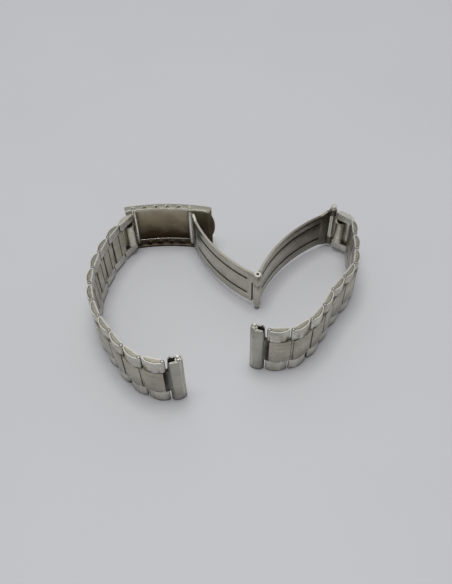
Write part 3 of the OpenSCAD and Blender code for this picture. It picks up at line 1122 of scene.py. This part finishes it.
@dataclass
class Cover:
    """The clasp cover's fine trim: pressed rims round its holes, and bright lines
    along its bends that are painted highlights.

    Attributes:
        length: The cover's length along its arch.
        width: Its width, which stands upright.
        depth: How far its flanges rise.
        sheet: Its sheet's thickness.
        arch: The radius of its outer face.
        flare_deg: How far its flanges lean outwards.
        holes: How many holes each flange has.
        hole_pitch: From hole to hole.
        hole_depth: From the outer face to a hole's middle.
        first_hole: From the cover's end to the first hole.
        turn_deg: The turn of the whole cover.
        at: The x and y of the middle of its outer face.
        rim_r: The radius of a rim's ring.
        rim_t: The radius of a rim's round section.
        rim_sides: How many sides that section has.
        rim_steps: How many steps the ring has.
        bead_r: The radius of a bend line.
        bead_inset: From the cover's end to a bend line's end.
        bead_sides: How many sides a bend line's section has.
        bead_steps: How many steps a bend line has.
    """

    length: float = 27.9
    width: float = 17.1
    depth: float = 3.2
    sheet: float = 0.7
    arch: float = 60.0
    flare_deg: float = 12.0
    holes: int = 6
    hole_pitch: float = 3.7
    hole_depth: float = 2.1
    first_hole: float = 2.8
    turn_deg: float = -2.5
    at: tuple[float, float] = (-18.03, 30.66)
    rim_r: float = 0.56
    rim_t: float = 0.09
    rim_sides: int = 8
    rim_steps: int = 20
    bead_r: float = 0.13
    bead_inset: float = 1.3
    bead_sides: int = 10
    bead_steps: int = 48

    def placed(self) -> Matrix:
        """The place of the arch's axis, and the cover's turn.

        Returns:
            The frame in metres: y points from the axis to the cover's middle.
        """
        move = Matrix.Translation(Vector((*self.at, 0.0)) * MM)
        turn = Matrix.Rotation(math.radians(self.turn_deg), 4, "Z")
        return move @ turn @ Matrix.Translation((0.0, -self.arch * MM, 0.0))

    def rim(self, bm: bmesh.types.BMesh, along: float, face: Face) -> None:
        """Adds the pressed rim of one adjusting hole.

        Args:
            bm: The mesh that it joins.
            along: The hole's place along the arch.
            face: The flange that it is on.
        """
        slope = math.radians(self.flare_deg)
        ring = bmesh.ops.create_circle(
            bm, segments=self.rim_sides, radius=self.rim_t * MM
        )["verts"]
        out = Matrix.Translation((self.rim_r * MM, 0, 0))
        stand = out @ Matrix.Rotation(QUARTER, 4, "X")
        bmesh.ops.transform(bm, matrix=stand, verts=ring)
        edges = list({e for v in ring for e in v.link_edges})
        bmesh.ops.spin(
            bm,
            geom=ring + edges,
            cent=(0, 0, 0),
            axis=(0, 0, 1),
            angle=math.tau,
            steps=self.rim_steps,
            use_merge=True,
        )
        made = [v for v in bm.verts if not v.tag]
        rise = (self.depth - self.hole_depth) * math.tan(slope)
        height = self.width - rise if face is Face.UPPER else rise
        spot = (0, (self.arch - self.hole_depth) * MM, height * MM)
        place = (
            self.placed()
            @ Matrix.Rotation(-along / self.arch, 4, "Z")
            @ Matrix.Translation(spot)
            @ Matrix.Rotation(slope * face.value, 4, "X")
        )
        bmesh.ops.transform(bm, matrix=place, verts=made)
        for v in made:
            v.tag = True

    def rims(self) -> bpy.types.Object:
        """Builds the rims of all the holes.

        Returns:
            One piece with every rim.
        """
        bm = bmesh.new()
        for i in range(self.holes):
            along = -self.length / 2 + self.first_hole + i * self.hole_pitch
            for face in (Face.LOWER, Face.UPPER):
                self.rim(bm, along, face)
        return finished("cover_hole_rims", bm)

    def beads(self) -> bpy.types.Object:
        """Builds the two bright lines inside the cover, where its flanges rise: thin
        beads that carry a painted highlight along each bend.

        Returns:
            One piece with both lines.
        """
        slope = math.radians(self.flare_deg)
        inner = self.arch - self.sheet
        wall = self.sheet / math.cos(slope)
        height = (inner - self.arch + self.depth) * math.tan(slope) + wall
        half = (self.length / 2 - self.bead_inset) / self.arch
        bm = bmesh.new()
        for z in (height, self.width - height):
            ring = bmesh.ops.create_circle(
                bm, cap_ends=True, segments=self.bead_sides, radius=self.bead_r * MM
            )["verts"]
            stand = (
                Matrix.Rotation(-half, 4, "Z")
                @ Matrix.Translation((0, inner * MM, z * MM))
                @ Matrix.Rotation(QUARTER, 4, "Y")
            )
            bmesh.ops.transform(bm, matrix=self.placed() @ stand, verts=ring)
            bmesh.ops.spin(
                bm,
                geom=list({f for v in ring for f in v.link_faces}),
                cent=self.placed() @ Vector((0, 0, z * MM)),
                axis=(0, 0, 1),
                angle=2 * half,
                steps=self.bead_steps,
                use_duplicate=False,
            )
        return finished("cover_bend_highlights", bm)

    def build(self, dresser: Dresser) -> None:
        """Builds and dresses the trim.

        Args:
            dresser: What gives materials.
        """
        # The bend lines take the bars' near-white steel, which paints their highlight.
        for piece, finish in ((self.rims(), ENDS), (self.beads(), BARS)):
            piece.data.materials.append(dresser.material(finish))
            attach(piece, "clasp_cover")


@dataclass
class Clasp:
    """The folding clasp: its cover, blades, pins and spring bar.

    Attributes:
        pin_soft: The width of the bevel on a pin's edges.
    """

    pin_soft: float = 0.04

    def dress(self, dresser: Dresser) -> None:
        """Dresses the clasp.

        Args:
            dresser: What dresses a node.
        """
        dresser.dress("clasp_cover", COVER)
        dresser.dress("blade_a_cover_side", BLADE)
        dresser.dress("blade_b_snap_side", BLADE)
        dresser.dress("blade_pivot_pin", COVER, self.pin_soft)
        dresser.dress("blade_hinge_pin", HOLLOW, self.pin_soft)
        dresser.dress("snap_bar", BARS, self.pin_soft)
        SpringBar("clasp_bar").dress(dresser)


# The surroundings.


@dataclass(frozen=True)
class Lamp:
    """A soft square lamp that faces the bracelet.

    Attributes:
        name: Its name.
        at: Its place, in metres.
        size: Its side, in metres.
        power: Its power, in watts.
        colour: Its colour.
    """

    name: str
    at: Place
    size: float
    power: float
    colour: Colour = (1.0, 1.0, 1.0)

    def build(self) -> None:
        """Hangs the lamp and turns it to the bracelet."""
        data = bpy.data.lights.new(self.name, "AREA")
        data.shape = "SQUARE"
        data.size = self.size
        data.energy = self.power
        data.color = self.colour
        lamp = bpy.data.objects.new(self.name, data)
        bpy.context.scene.collection.objects.link(lamp)
        lamp.location = self.at
        lamp.rotation_mode = "QUATERNION"
        lamp.rotation_quaternion = (-Vector(self.at)).to_track_quat("-Z", "Y")


@dataclass
class Studio:
    """The table, the lamps and the camera.

    Attributes:
        picture_height: The picture's height, in pixels.
        focal_px: The camera's focal length, in pixels.
        shift_px: How far the picture's middle lies above the lens's axis.
        sensor: The width of the camera's sensor, in millimetres.
        clip: The nearest and farthest that the camera sees, in metres.
        tilt_deg: How far the camera looks down.
        roll_deg: The camera's roll.
        camera_at: The camera's place, in millimetres.
        table: The table's colour.
        table_lift: How many times lighter its light clouds are.
        table_half: Half of the table's width, in metres.
        table_tone: The table's faint clouds.
        table_rough: How soft the table's reflections are.
        table_gloss: How strong they are.
        room: The colour of the room's light.
        room_strength: The strength of that light.
        lamps: The lamps.
    """

    picture_height: int = 584
    focal_px: float = 600.0
    shift_px: float = -1.0
    sensor: float = 36.0
    clip: Range = (0.01, 10.0)
    tilt_deg: float = 51.06
    roll_deg: float = -1.74
    camera_at: Place = (-0.53, -110.94, 146.47)
    table: Colour = (0.52, 0.525, 0.547)
    table_lift: float = 1.04
    table_half: float = 1.5
    table_tone: Noise = Noise(14.0, 2.0, (0.2, 0.8))
    table_rough: float = 0.55
    table_gloss: float = 0.3
    room: Colour = (0.98, 0.985, 1.0)
    room_strength: float = 0.28
    lamps: tuple[Lamp, ...] = (
        Lamp("overhead", (-0.03, 0.02, 1.0), 0.5, 7.15, (1.0, 0.995, 0.985)),
        Lamp("window", (0.0, 0.68, 0.8), 0.9, 0.9),
    )

    def add_camera(self) -> None:
        """Makes the camera at the photograph's place and angle."""
        data = bpy.data.cameras.new("camera")
        camera = bpy.data.objects.new("camera", data)
        bpy.context.scene.collection.objects.link(camera)
        bpy.context.scene.camera = camera
        data.sensor_width = self.sensor
        data.sensor_fit = "AUTO"
        data.lens = self.focal_px * self.sensor / self.picture_height
        data.shift_y = self.shift_px / self.picture_height
        data.clip_start, data.clip_end = self.clip
        turn = Matrix.Rotation(math.radians(90.0 - self.tilt_deg), 4, "X")
        roll = Matrix.Rotation(math.radians(self.roll_deg), 4, "Z")
        place = Vector(self.camera_at) * MM
        camera.matrix_world = Matrix.Translation(place) @ turn @ roll

    def add_table(self) -> None:
        """Makes the plain pale table top that the bracelet stands on."""
        mesh = bpy.data.meshes.new("table")
        bm = bmesh.new()
        bmesh.ops.create_grid(bm, x_segments=1, y_segments=1, size=self.table_half)
        bm.to_mesh(mesh)
        bm.free()
        table = bpy.data.objects.new("table", mesh)
        bpy.context.scene.collection.objects.link(table)
        p = Paint("table_top")
        lighter = tuple(c * self.table_lift for c in self.table)
        p.set("Base Color", p.mix(p.noise(self.table_tone), self.table, lighter))
        p.set("Roughness", self.table_rough)
        p.set("Specular IOR Level", self.table_gloss)
        mesh.materials.append(p.material)

    def add_world(self) -> None:
        """Makes the even, slightly cool light of the room."""
        world = bpy.data.worlds.new("room")
        bpy.context.scene.world = world
        world.use_nodes = True
        back = world.node_tree.nodes["Background"]
        back.inputs["Color"].default_value = (*self.room, 1.0)
        back.inputs["Strength"].default_value = self.room_strength

    def build(self) -> None:
        """Builds the whole studio."""
        bpy.context.scene.view_settings.view_transform = "Standard"
        self.add_camera()
        self.add_table()
        for lamp in self.lamps:
            lamp.build()
        self.add_world()
        LOG.info("studio: camera, table and lamps")


def main() -> None:
    """Builds the studio, dresses each sub-assembly and adds its fine pieces."""
    logging.basicConfig(level=logging.INFO, format="%(name)s: %(message)s")
    Studio().build()
    dresser = Dresser()
    for half in (BandHalf(Half.LEFT, 11), BandHalf(Half.RIGHT, 10)):
        half.dress(dresser)
        half.trim(dresser)
    Clasp().dress(dresser)
    Cover().build(dresser)


if __name__ == "__main__":
    main()
